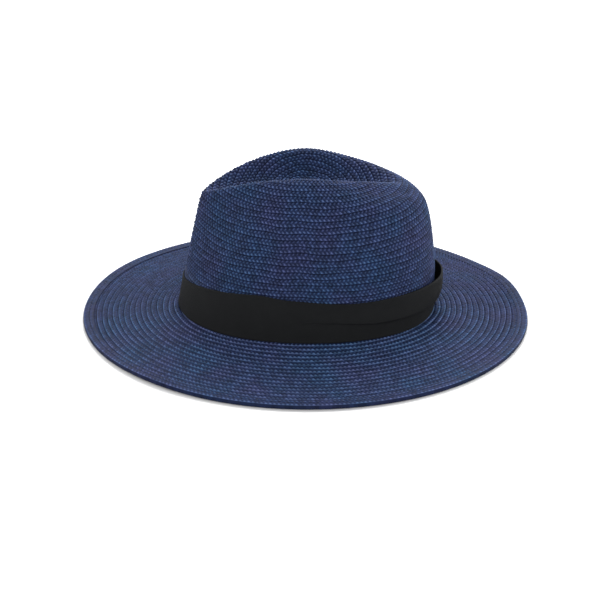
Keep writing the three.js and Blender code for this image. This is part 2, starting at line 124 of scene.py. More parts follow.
JOINER_RADIUS = 0.9         # of the tube on the rim's wire, which the brim ends beside
BRIM_END_FROM_RIM = RIM_LIP + 2 * GAP + 2 * JOINER_RADIUS + 2 * GAP

# ---- The braid ----
CROWN_ROWS = 37
BRIM_ROWS = 17
PLAIT = 3.3                 # length of one plait along the braid
CROWN_SHINGLE = 0.35        # each row's outer edge stands this far above the next row
BRIM_SHINGLE = 1.05
PLAIT_RISE = 0.9            # height of the strands' bumps
STRAND_SLANT = 0.2          # how far a strand leans along the row, in plaits
UNDER_STEP = 0.5            # height of the rows' steps on the unseen face
UNDER_BAND = 0.35           # share of the relief that the band leaves where it lies
ROW_WAVER = ((0.06, 5, 0.9), (0.04, 13, -1.7))      # size in rows, waves round the hat, shift in a row
ACROSS = np.array([0, 0.07, 0.18, 0.3, 0.42, 0.54, 0.66, 0.78, 0.88, 0.96])
ACROSS_UNDER = np.array([0, 0.2, 0.5, 0.8])
CROWN_COLUMNS = 1120
BRIM_COLUMNS = 1760
UNDER_EVERY = 4             # the unseen face has one column for this many on the seen face


# ---- Camera, light and floor ----
def add_camera():
    """The photograph's view: from the hat's right side and a little above."""
    elevation = math.radians(25.5)
    distance = 1.5
    roll_angle = math.radians(0.3)
    look_at = Vector((-0.0046, 0, 0.012))
    camera = bpy.data.objects.new("camera", bpy.data.cameras.new("camera"))
    bpy.context.scene.collection.objects.link(camera)
    back = Vector((0, -math.cos(elevation), math.sin(elevation)))
    roll = Quaternion((0, 0, 1), roll_angle)
    camera.rotation_mode = "QUATERNION"
    camera.rotation_quaternion = back.to_track_quat("Z", "Y") @ roll
    camera.location = look_at + back * distance
    camera.data.lens = 108.45
    camera.data.sensor_width = 36
    bpy.context.scene.camera = camera
    bpy.context.scene.view_settings.view_transform = "Standard"


def add_area_light(name, place, size, watts):
    light = bpy.data.lights.new(name, "AREA")
    light.shape = "DISK"
    light.size = size
    light.energy = watts
    lamp = bpy.data.objects.new(name, light)
    lamp.location = place
    hat_middle = Vector((0, 0, 0.05))
    lamp.rotation_euler = (hat_middle - Vector(place)).to_track_quat("-Z", "Y").to_euler()
    bpy.context.scene.collection.objects.link(lamp)


def add_studio():
    """Soft light, most of it from above and behind, in a white surround."""
    add_area_light("key", (0.1, 1.25, 1.4), size=1.1, watts=43)
    add_area_light("fill_left", (-1.4, 0.5, 0.7), size=0.9, watts=9)
    add_area_light("fill_right", (1.4, 0.6, 0.7), size=0.9, watts=13)
    add_area_light("front", (0.2, -1.65, 0.85), size=0.8, watts=13)
    world = bpy.data.worlds.new("studio")
    bpy.context.scene.world = world
    world.use_nodes = True
    background = world.node_tree.nodes["Background"]
    background.inputs["Color"].default_value = (1, 1, 1, 1)
    background.inputs["Strength"].default_value = 0.52


def add_floor():
    half = 6.0
    level = -0.0001         # just below the rim, so that no two faces share a plane
    corners = [(-half, -half, level), (half, -half, level), (half, half, level), (-half, half, level)]
    mesh = bpy.data.meshes.new("floor")
    mesh.from_pydata(corners, [], [(0, 1, 2, 3)])
    floor = bpy.data.objects.new("floor", mesh)
    bpy.context.scene.collection.objects.link(floor)
    tree, shader = new_material("floor_paper", 0.9)
    paper = tree.ramp(tree.noise(scale=3.0), [(0.3, (0.86, 0.86, 0.86)), (0.7, (0.9, 0.9, 0.9))])
    tree.link(paper, shader.inputs["Base Color"])
    mesh.materials.append(bpy.data.materials["floor_paper"])
    floor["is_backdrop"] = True


# ---- Materials ----
# Colours, each from dark to light.
# The straw's dark colour is painted shade for the grooves and its light colour a painted highlight for the
# strands and free edges; the middle is the straw's own colour.
STRAW = ((0.0025, 0.0045, 0.02), (0.018, 0.031, 0.088), (0.078, 0.118, 0.245))
STRAW_PATCHES = ((1.12, 0.92, 0.96), (0.82, 1.06, 1.02))       # what uneven dye multiplies the colour by
RIBBON = ((0.007, 0.0076, 0.0084), (0.014, 0.0148, 0.016))
SWEATBAND = ((0.009, 0.011, 0.016), (0.03, 0.032, 0.04))
LABEL = ((0.5, 0.48, 0.42), (0.75, 0.73, 0.66))
NAVY_THREAD = ((0.012, 0.018, 0.05), (0.035, 0.05, 0.1))
BLACK_THREAD = ((0.008, 0.008, 0.01), (0.03, 0.03, 0.035))
STEEL = ((0.45, 0.46, 0.48), (0.62, 0.63, 0.65))
BRASS = ((0.5, 0.42, 0.24), (0.66, 0.56, 0.34))


class Tree:
    """Short names for the few kinds of node that the materials use."""

    def __init__(self, material):
        self.tree = material.node_tree

    def node(self, kind, **settings):
        made = self.tree.nodes.new(kind)
        for name, value in settings.items():
            setattr(made, name, value)
        return made

    def link(self, source, target):
        self.tree.links.new(source, target)

    def attribute(self, name, output="Fac"):
        return self.node("ShaderNodeAttribute", attribute_name=name).outputs[output]

    def place(self, stretch=(1, 1, 1)):
        """Object coordinates, scaled along each axis."""
        mapping = self.node("ShaderNodeMapping")
        mapping.inputs["Scale"].default_value = stretch
        self.link(self.node("ShaderNodeTexCoord").outputs["Object"], mapping.inputs["Vector"])
        return mapping.outputs["Vector"]

    def noise(self, scale, vector=None, detail=2.0, roughness=0.5):
        noise = self.node("ShaderNodeTexNoise")
        noise.inputs["Scale"].default_value = scale
        noise.inputs["Detail"].default_value = detail
        noise.inputs["Roughness"].default_value = roughness
        self.link(self.place() if vector is None else vector, noise.inputs["Vector"])
        return noise.outputs["Fac"]

    def ramp(self, value, stops):
        """A colour for each value, from stops of a place from 0 to 1 and the colour there."""
        stops = list(stops)
        ramp = self.node("ShaderNodeValToRGB")
        elements = ramp.color_ramp.elements
        while len(elements) < len(stops):
            elements.new(0.5)
        for element, (at, colour) in zip(elements, stops):
            element.position = at
            element.color = (*colour, 1)
        self.link(value, ramp.inputs["Fac"])
        return ramp.outputs["Color"]

    def math(self, operation, *values):
        made = self.node("ShaderNodeMath", operation=operation)
        for socket, value in zip(made.inputs, values):
            if isinstance(value, (int, float)):
                socket.default_value = value
            else:
                self.link(value, socket)
        return made.outputs[0]

    def tint(self, colour, by, low, high):
        """The colour made darker or lighter, from low to high, as a value goes from 0 to 1."""
        amount = self.math("MULTIPLY_ADD", by, high - low, low)
        scale = self.node("ShaderNodeVectorMath", operation="SCALE")
        self.link(colour, scale.inputs[0])
        self.link(amount, scale.inputs["Scale"])
        return scale.outputs[0]

    def multiply(self, first, second):
        """Two colours multiplied channel by channel."""
        product = self.node("ShaderNodeVectorMath", operation="MULTIPLY")
        self.link(first, product.inputs[0])
        self.link(second, product.inputs[1])
        return product.outputs[0]

    def bump(self, height, depth, shader):
        """Relief of a depth in metres, for what is finer than the mesh."""
        bump = self.node("ShaderNodeBump")
        bump.inputs["Strength"].default_value = 1.0
        bump.inputs["Distance"].default_value = depth
        self.link(height, bump.inputs["Height"])
        self.link(bump.outputs["Normal"], shader.inputs["Normal"])

    def wave(self, vector, scale, axis, distortion=0.0):
        wave = self.node("ShaderNodeTexWave", bands_direction=axis)
        wave.inputs["Scale"].default_value = scale
        wave.inputs["Distortion"].default_value = distortion
        self.link(vector, wave.inputs["Vector"])
        return wave.outputs["Fac"]


def new_material(name, roughness, specular=0.5, metallic=0.0):
    material = bpy.data.materials.new(name)
    material.use_nodes = True
    shader = material.node_tree.nodes["Principled BSDF"]
    shader.inputs["Roughness"].default_value = roughness
    shader.inputs["Specular IOR Level"].default_value = specular
    shader.inputs["Metallic"].default_value = metallic
    return Tree(material), shader


def straw_material(name, dark, middle, light):
    """Dyed paper straw: painted shade in the grooves and painted highlights on the strands, from the rise
    attribute, and no two strands alike.
    """
    tree, shader = new_material(name, 0.7, 0.1)
    # Painted light: the rise attribute picks painted shade in the grooves and painted highlights on the
    # strands and free edges.
    colour = tree.ramp(tree.attribute("rise"), [(0.0, dark), (0.45, middle), (1.0, light)])
    colour = tree.tint(colour, tree.attribute("tone"), 0.66, 1.34)
    patches = tree.ramp(tree.noise(30.0, detail=3.0), zip((0.35, 0.65), STRAW_PATCHES))
    colour = tree.multiply(colour, patches)
    fibres = tree.noise(1800.0, detail=3.0, roughness=0.6)
    colour = tree.tint(colour, fibres, 0.8, 1.2)
    tree.link(colour, shader.inputs["Base Color"])
    tree.link(tree.math("MULTIPLY_ADD", fibres, 0.3, 0.5), shader.inputs["Roughness"])
    tree.bump(fibres, 0.00012, shader)
    return bpy.data.materials[name]


def woven_material(name, dark, light, pitch):
    """Plain-woven cloth: ribs both ways at the thread's pitch in metres, with uneven dye."""
    roughness = 0.85
    tree, shader = new_material(name, roughness, 0.12)
    bands = FULL_TURN / (20 * pitch)        # a wave texture of scale 1 turns by 20 radians in a metre
    weft = tree.wave(tree.attribute("cloth", "Vector"), bands, "X", 0.4)
    warp = tree.wave(tree.attribute("cloth", "Vector"), bands, "Y", 0.4)
    weave = tree.math("MULTIPLY", weft, warp)
    colour = tree.ramp(weave, [(0.0, dark), (1.0, light)])
    colour = tree.tint(colour, tree.noise(60.0, detail=4.0), 0.8, 1.2)
    tree.link(colour, shader.inputs["Base Color"])
    tree.link(tree.math("MULTIPLY_ADD", weave, 0.12, roughness - 0.1), shader.inputs["Roughness"])
    tree.bump(weave, 0.00015, shader)
    return bpy.data.materials[name]


def thread_material(name, dark, light):
    """Spun thread: lighter and darker flecks, about as wide as the thread."""
    tree, shader = new_material(name, 0.6, 0.35)
    twist = tree.noise(1.0, tree.place((2500, 2500, 2500)), detail=1.0)
    tree.link(tree.ramp(twist, [(0.3, dark), (0.7, light)]), shader.inputs["Base Color"])
    tree.bump(twist, 0.0001, shader)
    return bpy.data.materials[name]


def metal_material(name, dark, light):
    """Drawn metal: fine stretched flecks and a slightly uneven gloss."""
    roughness = 0.35
    tree, shader = new_material(name, roughness, metallic=1.0)
    flecks = tree.noise(1.0, tree.place((900, 900, 200)), detail=3.0)
    tree.link(tree.ramp(flecks, [(0.3, dark), (0.7, light)]), shader.inputs["Base Color"])
    tree.link(tree.math("MULTIPLY_ADD", flecks, 0.2, roughness - 0.1), shader.inputs["Roughness"])
    return bpy.data.materials[name]


# ---- Crown surface, as in the design ----
# theta holds one angle for each column, and share or place one value for each point of a column.
def smooth(value, low, high):
    """0 up to low, 1 from high on, and an even rise between them."""
    part = np.clip((value - low) / (high - low), 0, 1)
    return part * part * (3 - 2 * part)


def bell(value, width):
    return np.exp(-((value / width) ** 2))


def degrees_from(theta, centre):
    """Turn from a centre given in degrees, between -180 and 180."""
    turn = theta - math.radians(centre)
    return np.degrees(np.arctan2(np.sin(turn), np.cos(turn)))


def base_radius(theta):
    return 1 / np.hypot(np.cos(theta) / CROWN_HALF_LENGTH, np.sin(theta) / CROWN_HALF_WIDTH)


def base_height(theta):
    return BASE_HEIGHT - BASE_SADDLE * np.cos(2 * theta)


def ridge_radius(theta):
    reach = np.where(np.cos(theta) < 0, RIDGE_FRONT, RIDGE_BACK)
    along = np.abs(np.cos(theta) / reach) ** RIDGE_SHARPNESS
    across = np.abs(np.sin(theta) / RIDGE_SIDE) ** RIDGE_SHARPNESS
    return (along + across) ** (-1 / RIDGE_SHARPNESS)


def ridge_height(theta):
    x = ridge_radius(theta) * np.cos(theta)
    fall_front = RIDGE_FALL_FRONT * np.abs(x / RIDGE_FRONT) ** FALL_POWER_FRONT
    fall_back = RIDGE_FALL_BACK * np.abs(x / RIDGE_BACK) ** FALL_POWER_BACK
    return BASE_HEIGHT + CROWN_HEIGHT - np.where(x < 0, fall_front, fall_back)


# Control points of the wall: the share of the way out to the base, and of the way up to the ridge.
WALL_FRONT = np.array([(0.04, 1.015), (0.2, 0.86), (0.5, 0.57), (0.78, 0.28), (1, 0)])
WALL_BACK = np.array([(0.22, 0.895), (0.68, 0.86), (1, 0.52), (1.12, 0.22), (1.05, 0)])
WALL_SIDE = np.array([(0.08, 1), (0.4, 0.86), (0.68, 0.58), (0.86, 0.28), (1, 0)])


def meridian_controls(theta):
    """Control points, as (radius, height), from the middle of the dent over the ridge to the foot."""
    front = np.maximum(0, -np.cos(theta)) ** 2
    back = np.maximum(0, np.cos(theta)) ** 2
    side = np.sin(theta) ** 2
    ridge, top, foot = ridge_radius(theta), ridge_height(theta), base_height(theta)
    dent = BASE_HEIGHT + CROWN_HEIGHT - DENT_DEPTH
    # The first four lie in the dent and on the roll at the ridge.
    radii = [0 * ridge, 0.3 * ridge, 0.62 * ridge, 0.93 * ridge]
    heights = [dent + 0 * top, dent + 0 * top, dent + 0.3 * (top - dent), top + ROLL_HEIGHT * side]
    for at_front, at_back, at_side in zip(WALL_FRONT, WALL_BACK, WALL_SIDE):
        out, up = (front * at_front[i] + back * at_back[i] + side * at_side[i] for i in (0, 1))
        radii.append(ridge + (base_radius(theta) - ridge) * out)
        heights.append(foot + (top - foot) * up)
    return np.stack([radii, heights], axis=-1).transpose(1, 0, 2)


def spline(controls, samples=240):
    """Points along cubic B-splines that start and end on their outer control points."""
    first = 2 * controls[:, :1] - controls[:, 1:2]
    final = 2 * controls[:, -1:] - controls[:, -2:-1]
    padded = np.concatenate([first, controls, final], axis=1)
    spans = controls.shape[1] - 1
    place = np.linspace(0, spans, samples + 1)
    span = np.minimum(place.astype(int), spans - 1)
    t = place - span
    weights = [(1 - t) ** 3, 3 * t**3 - 6 * t**2 + 4, -3 * t**3 + 3 * t**2 + 3 * t + 1, t**3]
    return sum(w[None, :, None] * padded[:, span + k] for k, w in enumerate(weights)) / 6


def meridians(theta):
    """Lines of (radius, height) from the middle of the tip to the foot, and each point's way along them."""
    lines = spline(meridian_controls(theta))
    steps = np.linalg.norm(np.diff(lines, axis=1), axis=2)
    return lines, np.concatenate([np.zeros((len(theta), 1)), np.cumsum(steps, axis=1)], axis=1)


def pinch_depth(x, radius, z, theta):
    folds = bell(x - PINCH_AT - PINCH_FOLD_SPREAD, PINCH_FOLD_WIDTH)
    folds = folds + bell(x - PINCH_AT + PINCH_FOLD_SPREAD, PINCH_FOLD_WIDTH)
    height = z - BASE_HEIGHT
    upright = smooth(height, *PINCH_RISE) * (1 - smooth(height, *PINCH_FADE))
    outside = smooth(radius - ridge_radius(theta), 0, PINCH_REACH)
    return PINCH_DEPTH * folds * upright * outside * np.sin(theta) ** 2


def crown_face(theta, share):
    """Points of the crown's outer face, at a share of the way from the middle of the tip to the foot."""
    lines, runs = meridians(theta)
    places = [(s * run[-1], run, line) for s, run, line in zip(share, runs, lines)]
    radius = np.array([np.interp(place, run, line[:, 0]) for place, run, line in places])
    z = np.array([np.interp(place, run, line[:, 1]) for place, run, line in places])
    turn = theta[:, None]
    x = radius * np.cos(turn)
    inward = np.sign(np.sin(turn)) * pinch_depth(x, radius, z, turn)
    return np.stack([x, radius * np.sin(turn) - inward, z], axis=-1)


def share_at_height(theta, heights):
    """Share of the meridian at each height above the crown's foot."""
    heights = np.broadcast_to(heights, (len(theta), np.shape(heights)[-1]))
    lines, runs = meridians(theta)
    wall = slice(lines.shape[1] // 2, None)
    shares = []
    for run, line, height in zip(runs, lines, heights):
        up = line[wall, 1][::-1] - line[-1, 1]
        shares.append(np.interp(height, up, (run[wall] / run[-1])[::-1]))
    return np.array(shares)


def brim_face(theta, share):
    """Points of the brim's upper face, at a share of the way from the crown's foot to the rim."""
    turn = theta[:, None]
    left = np.clip(1 - share, 0, 1)
    foot = BASE_HEIGHT + (base_height(turn) - BASE_HEIGHT) * left**2 - 2 * GAP
    rim = RIM_LIP + GAP + BRAID + rim_lift(turn) * np.maximum(0, share) ** 2
    x = (CROWN_HALF_LENGTH + BRIM_WIDTH * share) * np.cos(turn)
    y = (CROWN_HALF_WIDTH + BRIM_WIDTH * share) * np.sin(turn)
    return np.stack([x, y, rim + (foot - rim) * left**BRIM_DROOP], axis=-1)


def rim_lift(theta):
    return sum(lift * bell(degrees_from(theta, at), width) for at, lift, width in RIM_WAVES)


def brim_share(from_rim):
    return 1 - from_rim / BRIM_WIDTH


def with_normals(face, theta, share, first=0.004, step=0.004):
    """Points of a face and its outward normals, from short steps both ways along it. The steps don't go
    below the first share, where the face may shrink to a point."""
    down = face(theta, np.minimum(share + step, 1)) - face(theta, np.maximum(share - step, first))
    round_it = face(theta + step, share) - face(theta - step, share)
    normals = np.cross(down, round_it)
    lengths = np.linalg.norm(normals, axis=-1, keepdims=True)
    upright = np.broadcast_to([0.0, 0.0, 1.0], normals.shape)
    return face(theta, share), np.where(lengths > 1e-6, normals / np.maximum(lengths, 1e-9), upright)


# ---- Meshes ----
def add_object(name, mesh, material):
    """An object that rides on the hat's one body."""
    mesh.polygons.foreach_set("use_smooth", np.ones(len(mesh.polygons), bool))
    mesh.materials.append(material)
    mesh.update()
    made = bpy.data.objects.new(name, mesh)
    bpy.context.scene.collection.objects.link(made)
    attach(made, "root")
    return made


def add_mesh(name, points, faces, material, slot, **attributes):
    """An object from points in millimetres, with values for its material at each point. Points that
    coincide become one, and faces without area go."""
    keys = np.round(points * 1e4).astype(np.int64)
    _, kept, index = np.unique(keys, axis=0, return_index=True, return_inverse=True)
    faces = index.ravel()[faces]
    corners = []
    for face in faces.tolist():
        loop = [v for k, v in enumerate(face) if v != face[k - 1]]
        if len(set(loop)) > 2:
            corners.append(loop)
    mesh = bpy.data.meshes.new(name)
    mesh.from_pydata(points[kept] * MM, [], corners)
    for key, values in attributes.items():
        kind = "FLOAT_VECTOR" if values.ndim > 1 else "FLOAT"
        layer = mesh.attributes.new(key, kind, "POINT")
        layer.data.foreach_set("vector" if values.ndim > 1 else "value", values[kept].ravel())
    return add_object(name, mesh, material)


def loop_faces(columns, size, closed_round=True):
    """Faces of a body whose columns are closed outlines of one size, capped if it isn't closed round."""
    rounds = np.arange(columns if closed_round else columns - 1)[:, None]
    here = rounds * size + np.arange(size)
    next_up = rounds * size + np.roll(np.arange(size), -1)
    faces = np.stack([here, next_up, next_up + size, here + size], axis=-1).reshape(-1, 4) % (columns * size)
    if closed_round:
        return faces
    caps = []
    end = (columns - 1) * size
    half = size // 2
    for k in range(half - 1):
        near = [k, size - 1 - k, size - 2 - k, k + 1]
        caps.append(near[::-1])
        caps.append([end + v for v in near])
    return np.concatenate([faces, np.array(caps)])


# ---- The braid: one spiral strip, each row tucked under the one nearer the tip ----
# Height across a row, from where it comes out from under its neighbour to its free outer edge.
ROW_PROFILE = ((0, 0), (0.08, 0.3), (0.22, 0.68), (0.5, 0.88),
               (0.78, 1.0), (0.9, 0.97), (0.96, 0.78), (1, 0))
EDGE_LINE = ((0.8, 0), (0.88, 1), (0.96, 0.9), (1, 0))      # where the free edge catches the light


def profile_at(profile, across):
    places, heights = zip(*profile)
    return np.interp(across, places, heights)


def strands(across, plaits):
    """Two staggered lines of slanted strands along a row, from 0 between them to 1 on top, and a
    number for each strand."""
    line = (across >= 0.5).astype(float)
    from_middle = 4 * across - 1 - 2 * line
    slant = np.where(line > 0, -STRAND_SLANT, STRAND_SLANT) * from_middle
    turn = plaits + 0.5 * line + slant
    lengthwise = np.abs(np.cos(math.pi * turn)) ** 2.4
    crosswise = np.abs(np.sin(FULL_TURN * across)) ** 0.9
    return lengthwise * crosswise, np.floor(turn + 0.5) + 7.3 * line


def speckle(cell):
    """A number from 0 to 1 for each cell that looks random and is the same every time."""
    return np.modf(np.abs(np.sin(cell * 12.9898) * 43758.5453))[0]


def row_painted_light(across, crest, strand_highlight, edge_highlight):
    """Painted light and shade on the straw: painted shade in the grooves, painted highlights on the strands
    and along the row's free edge.
    """
    profile = profile_at(ROW_PROFILE, across)
    painted_strand_highlight = strand_highlight * crest * (0.65 + 0.35 * profile)
    painted_edge_highlight = edge_highlight * profile_at(EDGE_LINE, across) * (0.6 + 0.4 * crest)
    return np.clip(0.22 * profile + painted_strand_highlight + painted_edge_highlight, 0, 1)


class Spiral:
    """A grid of points over a spiral strip. A column holds every row, and past the last column each
    row goes on as the next one. The course of a point is how many rows the strip has run there."""

    def __init__(self, face, share_at, columns, rows, across, first):
        self.columns, self.rows, self.size = columns, rows, len(across)
        self.count = (rows + 1) * self.size + 1
        self.theta = FULL_TURN * np.arange(columns) / columns
        places = np.append((np.arange(rows + 1)[:, None] + across).ravel(), rows + 1)
        self.across = np.append(np.tile(across, rows + 1), 0)
        even = places + (self.theta / FULL_TURN)[:, None] - 1
        course = even
        for size, waves, shift in ROW_WAVER:
            course = course + size * np.sin(waves * self.theta[:, None] + shift * even)
        self.course = np.clip(course, 0, rows)
        self.points, self.normals = with_normals(face, self.theta, share_at(self.course / rows), first)

    def plaits(self):
        """How many plaits of the strip have gone by at each point."""
        middle = self.points[:, self.size // 2::self.size].transpose(1, 0, 2)
        line = middle.reshape(-1, 3)
        steps = np.linalg.norm(np.diff(line, axis=0), axis=1)
        run = np.append(0, np.cumsum(steps)).reshape(middle.shape[:2])
        row = np.minimum(np.arange(self.count) // self.size, len(run) - 1)
        return run[row].T / PLAIT

    def fade(self):
        """1 over the strip and 0 at its two ends, so that the ends close."""
        return smooth(self.course, 0, 0.5) * smooth(self.rows - self.course, 0, 0.5)

    def raised(self, height):
        return self.points + self.normals * height[..., None]

    def faces(self):
        column = np.arange(self.columns)[:, None]
        place = np.arange(self.count - 1)
        last = column == self.columns - 1

        def beyond(place):
            wrapped = np.minimum(place + self.size, self.count - 1)
            return np.where(last, wrapped, (column + 1) * self.count + place)

        here = column * self.count + place
        return np.stack([here, here + 1, beyond(place + 1), beyond(place)], axis=-1).reshape(-1, 4)


def closing_faces(seen, unseen):
    """Two rings of faces that join the seen face to the unseen one, at the strip's two ends."""
    base = seen.columns * seen.count
    column = np.arange(seen.columns)
    ahead = (column + 1) % seen.columns
    rings = []
    for place, under_place in ((0, 0), (seen.count - 1, unseen.count - 1)):
        out, out_ahead = column * seen.count + place, ahead * seen.count + place
        low = base + (column // UNDER_EVERY) * unseen.count + under_place
        low_ahead = base + (ahead // UNDER_EVERY) * unseen.count + under_place
        loop = [out, out_ahead, low_ahead, low]
        rings.append(np.stack(loop if place == 0 else loop[::-1], axis=-1))
    return np.concatenate(rings)


def braid_shell(name, material, seen, unseen, shingle, pressed, strand_highlight, edge_highlight):
    """A closed shell of braid: its seen face has every strand, its unseen face the rows alone."""
    crest, cell = strands(seen.across, seen.plaits())
    profile = np.broadcast_to(profile_at(ROW_PROFILE, seen.across), crest.shape)
    # The relief lies about half above and half below the design's face.
    height = shingle * (profile - 0.5) + PLAIT_RISE * (crest - 0.45)
    outer = seen.raised(height * pressed * seen.fade())
    # Painted light on the seen face: painted shade in the grooves, painted highlights on the strands and
    # free edges.
    rise = row_painted_light(seen.across, crest, strand_highlight, edge_highlight)
    tone = speckle(cell)

    step = UNDER_STEP * (1 - unseen.across) * unseen.fade()
    inner = unseen.raised(0.1 - BRAID - step)
    # Painted light on the unseen face: lighter where each row's step stands out, painted shade where it
    # sinks.
    unseen_painted_light = np.broadcast_to(0.35 + 0.4 * (1 - unseen.across), inner.shape[:2])
    low_tone = speckle(np.floor(unseen.plaits() * 2))

    def both(seen_values, unseen_values, *width):
        return np.concatenate([seen_values.reshape(-1, *width), unseen_values.reshape(-1, *width)])

    base = seen.columns * seen.count
    faces = np.concatenate([seen.faces(), base + unseen.faces()[:, ::-1], closing_faces(seen, unseen)])
    return add_mesh(name, both(outer, inner, 3), faces, material, slot="straw_braid",
                    rise=both(rise, unseen_painted_light), tone=both(tone, low_tone))


def spiral_pair(face, share_at, columns, rows, first):
    """The seen face in full, and the unseen face with fewer points."""
    seen = Spiral(face, share_at, columns, rows, ACROSS, first)
    unseen = Spiral(face, share_at, columns // UNDER_EVERY, rows, ACROSS_UNDER, first)
    return seen, unseen


def crown_share(part):
    """Rows a little wider half way down than at the tip and at the foot."""
    return part - 0.08 * np.sin(FULL_TURN * part) / FULL_TURN


def add_crown(material):
    seen, unseen = spiral_pair(crown_face, crown_share, CROWN_COLUMNS, CROWN_ROWS, first=0.004)
    height = seen.points[..., 2] - BASE_HEIGHT
    pressed = UNDER_BAND + (1 - UNDER_BAND) * smooth(height, BAND_HEIGHT - 4, BAND_HEIGHT)
    # The last two numbers set the strength of the painted highlights on the strands and along the free
    # edges.
    return braid_shell("crown_braid", material, seen, unseen, CROWN_SHINGLE, pressed, strand_highlight=0.7, edge_highlight=0.25)


def brim_row_share(part):
    """The rows run from under the crown's foot to the wire in the rim."""
    inner = -BRAID / BRIM_WIDTH
    return inner + (brim_share(BRIM_END_FROM_RIM) - inner) * part


def add_brim(material):
    seen, unseen = spiral_pair(brim_face, brim_row_share, BRIM_COLUMNS, BRIM_ROWS, first=-1)
    # The last two numbers set the strength of the painted highlights on the strands and along the free
    # edges.
    return braid_shell("brim_braid", material, seen, unseen, BRIM_SHINGLE, 1, strand_highlight=0.45, edge_highlight=0.9)


# ---- Rim row: the last row, folded over the wire and sewn down ----
# The top as (place across, height), with a sewn groove, and the nose as (distance from the rim, rise).
RIM_TOP = ((0, 0.1), (0.06, 0.6), (0.2, 0.75), (0.3, 1.0), (0.36, 0.75), (0.4, 0.2), (0.46, 0.62),
           (0.58, 0.9), (0.72, 1.0), (0.84, 0.96), (0.93, 0.7))
RIM_NOSE = ((0.35, 0.7), (0.05, 0.0), (0, -0.8), (0.12, -1.6), (0.35, -2.2))
RIM_GROOVE = 0.38           # place of the groove across the row
RIM_RELIEF = 0.9            # height of the top's relief
RIM_PLAIT_RISE = 0.45
RIM_TOE = 1.2               # the fold leaves the table this far inside the rim
RIM_PAINTED_SHADE = 0.15            # painted shade on the nose and on what lies below it


def rim_outline(theta):
    """The rim row's cut, from its inner edge over the top, round the fold and back underneath."""
    def at(from_rim, rise):
        point = brim_face(theta, np.full((len(theta), 1), brim_share(from_rim)))
        point[..., 2] += rise
        return point

    def on_table(from_rim):
        point = at(from_rim, 0)
        point[..., 2] = rim_lift(theta)[:, None]
        return point

    lip = GAP + RIM_LIP
    top = [at(RIM_ROW_WIDTH * (1 - across), lip + RIM_RELIEF * (height - 1)) for across, height in RIM_TOP]
    nose = [at(*point) for point in RIM_NOSE]
    slot = -BRAID - GAP
    below = [on_table(from_rim) for from_rim in (RIM_TOE, 5, RIM_ROW_WIDTH)] + [at(RIM_ROW_WIDTH, slot)]
    inside = [at(RIM_LIP, slot), at(RIM_LIP, GAP), at(RIM_ROW_WIDTH, GAP)]
    return np.concatenate(top + nose + below + inside, axis=1)


def add_rim_row(material):
    columns = BRIM_COLUMNS
    theta = FULL_TURN * np.arange(columns) / columns
    points = rim_outline(theta)
    size = points.shape[1]
    seen = slice(0, len(RIM_TOP))
    edge_line = points[:, len(RIM_TOP)]
    steps = np.linalg.norm(np.diff(edge_line, axis=0), axis=1)
    plaits = np.round(steps.sum() / PLAIT) * np.append(0, np.cumsum(steps))[:, None] / steps.sum()
    across = np.zeros(size)
    across[seen] = [place for place, _ in RIM_TOP]
    stripe = np.where(across < RIM_GROOVE, across / RIM_GROOVE, (across - RIM_GROOVE) / (1 - RIM_GROOVE))
    crest, cell = strands(np.clip(stripe, 0, 1), plaits)
    points[..., 2] += RIM_PLAIT_RISE * (across > 0) * (crest - 0.3)
    # Painted shade on the rim's nose and underside, and painted highlights on its top from the strands and
    # the free edge.
    rise = np.full(points.shape[:2], RIM_PAINTED_SHADE)
    rise[:, seen] = row_painted_light(stripe[seen], crest[:, seen], strand_highlight=0.45, edge_highlight=0.7)
    return add_mesh("rim_row_braid", points.reshape(-1, 3), loop_faces(columns, size), material,
                    slot="straw_braid", rise=rise.ravel(), tone=speckle(cell).ravel())


# ---- Strips of cloth on the crown's wall ----
def strip_outline(theta, heights, outer_off, inner_off):
    """A strip's cut at each angle, from distances off the crown's outer face."""
    share = share_at_height(theta, heights)
    points, normals = with_normals(crown_face, theta, share)
    outer = points + normals * outer_off[..., None]
    inner = points + normals * inner_off[..., None]
    return np.concatenate([outer, inner[:, ::-1]], axis=1)


def cloth_places(theta, heights, centre=0.0):
    """Places on the flat cloth, in metres, for the weave."""
    crown_radius = 95
    run = np.broadcast_to((theta - centre)[:, None] * crown_radius, (len(theta), 2 * heights.shape[-1]))
    up = np.broadcast_to(np.concatenate([heights, heights[..., ::-1]], axis=-1), run.shape)
    return np.stack([run, up, 0 * run], axis=-1).reshape(-1, 3) * MM


def strip_levels(top, count, last):
    """Heights of a strip's lines of points, closer together at its edges."""
    return np.concatenate([[top, top - 0.5], np.linspace(top - 1.5, 2, count), [last, STRIP_FOOT]])


def band_top(theta):
    waves = [rise * bell(degrees_from(theta, at), spread) for at, rise, spread in BAND_WAVES]
    return BAND_HEIGHT + sum(waves)


def band_inner_off(theta, heights):
    """The band's inner face: close on the crown, and flared off it near the back."""
    side = degrees_from(theta, BAND_FLARE_AT)[:, None]
    reach = np.where(side < 0, bell(side, BAND_FLARE_SPREAD), 1 - smooth(side, *BAND_FLARE_END))
    return 1.5 * GAP + BAND_FLARE * reach * smooth(heights, *BAND_FLARE_RISE)


def band_fold(theta, heights):
    """The upper part laps over the lower part along a line, from the hat's right side to its back."""
    turn = np.mod(np.degrees(theta), 360)
    folded = (smooth(turn, *FOLD_START) * (1 - smooth(turn, *FOLD_END)))[:, None]
    line = (FOLD_LINE - FOLD_DROP * smooth(turn, 280, 312))[:, None]
    above = smooth(heights, line - 0.6, line + 0.3)
    lapping = FOLD_RISE * above * (1 - 0.6 * smooth(heights, line, line + 12))
    return folded * (lapping - 0.1 * (1 - above))


def selvedge(levels, top):
    """The band is a little thicker near its two edges and rounded at the very edge."""
    thicker = np.where((levels > top - 2) | (levels < 2.2), 0.12, 0)
    rounded = np.where((levels > top - 0.2) | (levels < STRIP_FOOT + 0.2), -0.3, 0)
    return thicker + rounded


